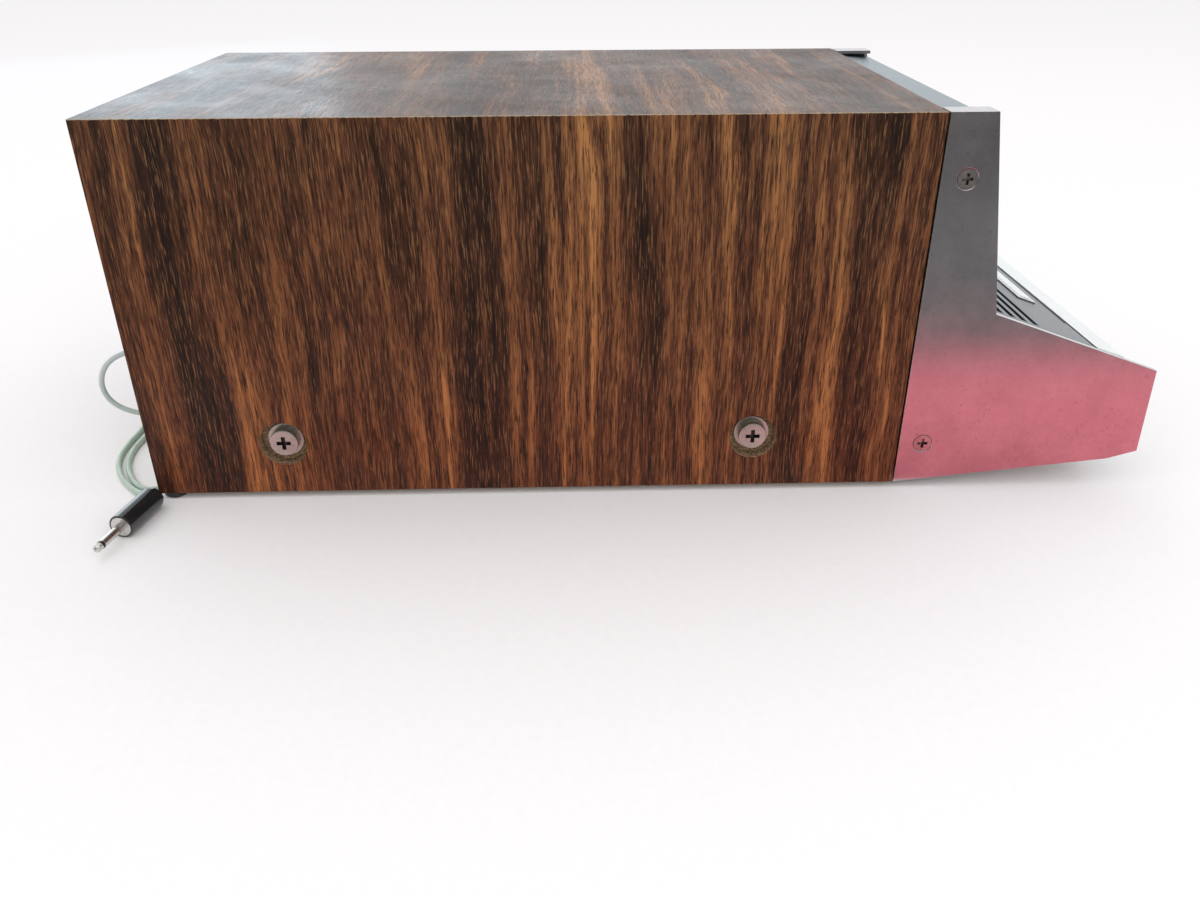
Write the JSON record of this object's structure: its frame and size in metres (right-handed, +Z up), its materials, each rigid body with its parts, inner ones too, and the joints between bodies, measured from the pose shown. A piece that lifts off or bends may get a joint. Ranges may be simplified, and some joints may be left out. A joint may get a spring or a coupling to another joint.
{
  "type": "desktop radio receiver",
  "caption": "Deep woodgrain desktop radio with metal end cheeks, a leaning dial front, a sloping slotted ledge and a captive audio lead with a small plug.",
  "frame": {"origin": "on the standing surface, under the middle of the set's footprint without its lead", "axes": "+Y towards the back (the front looks along -Y), +X to the set's right seen from the front, +Z up"},
  "size_m": [0.2367, 0.4708, 0.1596],
  "materials": {
    "walnut_wrap": "satin",
    "satin_metal": "satin brushed",
    "blue_grey_metal": "satin",
    "bright_trim": "bright satin",
    "screw_steel": "zinc plated",
    "black_rubber": "matte",
    "black_steel": "satin black paint",
    "ledge_plastic": "semi-gloss",
    "fascia_metal": "black anodised",
    "window_clear": "clear acrylic",
    "dial_black": "printed scale",
    "pointer_red": "gloss",
    "plated_steel": "plated",
    "cord_thread": "braided",
    "nylon": "natural",
    "rotor_vanes": "raw",
    "knob_black": "spun face, black skirt",
    "control_body": "phenolic",
    "key_cap": "satin",
    "speaker_paper": "paper",
    "ferrite": "ground",
    "board_green": "phenolic board",
    "can_metal": "drawn",
    "lamination_steel": "varnished",
    "winding_copper": "varnished",
    "terminal_mix": "moulded",
    "lead_grey": "soft vinyl",
    "plug_black": "gloss",
    "plug_nickel": "nickel plate"
  },
  "bodies": {
    "cabinet": {"wood_cover": "walnut_wrap", "left_cheek": "satin_metal", "right_cheek": "satin_metal", "top_trim": "blue_grey_metal", "ledge_trim": "bright_trim", "nameplate": "bright_trim", "cover_screws": "screw_steel", "cover_washers": "screw_steel", "cheek_screws": "screw_steel", "rear_panel_screws": "screw_steel", "rubber_feet": "black_rubber", "lead_gland": "black_rubber", "left_end_frame": "black_steel", "right_end_frame": "black_steel", "front_bulkhead": "black_steel", "ledge_grille": "ledge_plastic", "nose_panel": "ledge_plastic", "fascia_panel": "fascia_metal", "dial_window": "window_clear", "dial_plate": "dial_black", "dial_bracket": "plated_steel", "pointer_rail": "plated_steel", "chassis_pan": "plated_steel", "base_plate": "plated_steel", "rear_panel": "plated_steel", "gang_frame": "plated_steel", "speaker_basket": "plated_steel", "dial_cord": "cord_thread", "volume_control": "control_body", "tone_control": "control_body", "switch_bank": "control_body", "speaker_cone": "speaker_paper", "speaker_magnet": "ferrite", "circuit_board": "board_green", "coil_cans": "can_metal", "filter_capacitors": "can_metal", "transformer_core": "lamination_steel", "transformer_winding": "winding_copper", "rear_terminals": "terminal_mix", "headphone_jack": "terminal_mix", "lead_exit": "lead_grey", "lead_coil": "lead_grey", "lead_tail": "lead_grey", "plug_handle": "plug_black", "plug_shaft": "plug_nickel"},
    "tuning_control": {"tuning_knob": "knob_black", "tuning_shaft": "plated_steel"},
    "tuning_gang": {"dial_drum": "nylon", "gang_rotor": "rotor_vanes"},
    "pointer": {"dial_pointer": "pointer_red"},
    "left_cord_pulley": {"left_pulley": "nylon"},
    "right_cord_pulley": {"right_pulley": "nylon"},
    "volume": {"volume_knob": "knob_black", "volume_shaft": "plated_steel"},
    "tone": {"tone_knob": "knob_black", "tone_shaft": "plated_steel"},
    "power_key": {"power_button": "key_cap"},
    "am_key": {"am_button": "key_cap"},
    "fm_key": {"fm_button": "key_cap"},
    "tape_key": {"tape_button": "key_cap"}
  },
  "joints": [
    {"name": "tuning_turn", "type": "hinge", "parent": "cabinet", "child": "tuning_control", "pos_m": [0.058, -0.1185, 0.09738], "axis": [0, 0.9859, -0.1672], "range_deg": [-525, 525]},
    {"name": "gang_turn", "type": "hinge", "parent": "cabinet", "child": "tuning_gang", "pos_m": [0, -0.11934, 0.09244], "axis": [0, 0.9859, -0.1672], "range_deg": [-90, 90]},
    {"name": "pointer_slide", "type": "slide", "parent": "cabinet", "child": "pointer", "axis": [1, 0, 0], "range_m": [-0.062, 0.062]},
    {"name": "left_pulley_turn", "type": "hinge", "parent": "cabinet", "child": "left_cord_pulley", "pos_m": [-0.074, -0.11048, 0.1447], "axis": [0, 0.9859, -0.1672], "range_deg": [-670, 670]},
    {"name": "right_pulley_turn", "type": "hinge", "parent": "cabinet", "child": "right_cord_pulley", "pos_m": [0.074, -0.11048, 0.1447], "axis": [0, 0.9859, -0.1672], "range_deg": [-670, 670]},
    {"name": "volume_turn", "type": "hinge", "parent": "cabinet", "child": "volume", "pos_m": [-0.046, -0.13586, 0.10032], "axis": [0, 0.9859, -0.1672], "range_deg": [-150, 150]},
    {"name": "tone_turn", "type": "hinge", "parent": "cabinet", "child": "tone", "pos_m": [-0.008, -0.13586, 0.10032], "axis": [0, 0.9859, -0.1672], "range_deg": [-150, 150]},
    {"name": "power_press", "type": "slide", "parent": "cabinet", "child": "power_key", "axis": [0, 1, 0], "range_m": [0, 0.0035], "stiffness_N_per_m": 400},
    {"name": "am_press", "type": "slide", "parent": "cabinet", "child": "am_key", "axis": [0, 1, 0], "range_m": [0, 0.0035], "stiffness_N_per_m": 400},
    {"name": "fm_press", "type": "slide", "parent": "cabinet", "child": "fm_key", "axis": [0, 1, 0], "range_m": [0, 0.0035], "stiffness_N_per_m": 400},
    {"name": "tape_press", "type": "slide", "parent": "cabinet", "child": "tape_key", "axis": [0, 1, 0], "range_m": [0, 0.0035], "stiffness_N_per_m": 400}
  ],
  "couplings": [
    {"joint": "gang_turn", "follows": "tuning_turn", "ratio": -0.16981},
    {"joint": "pointer_slide", "follows": "tuning_turn", "m_per_rad": -0.006733},
    {"joint": "left_pulley_turn", "follows": "tuning_turn", "ratio": -1.2585},
    {"joint": "right_pulley_turn", "follows": "tuning_turn", "ratio": -1.2585}
  ]
}
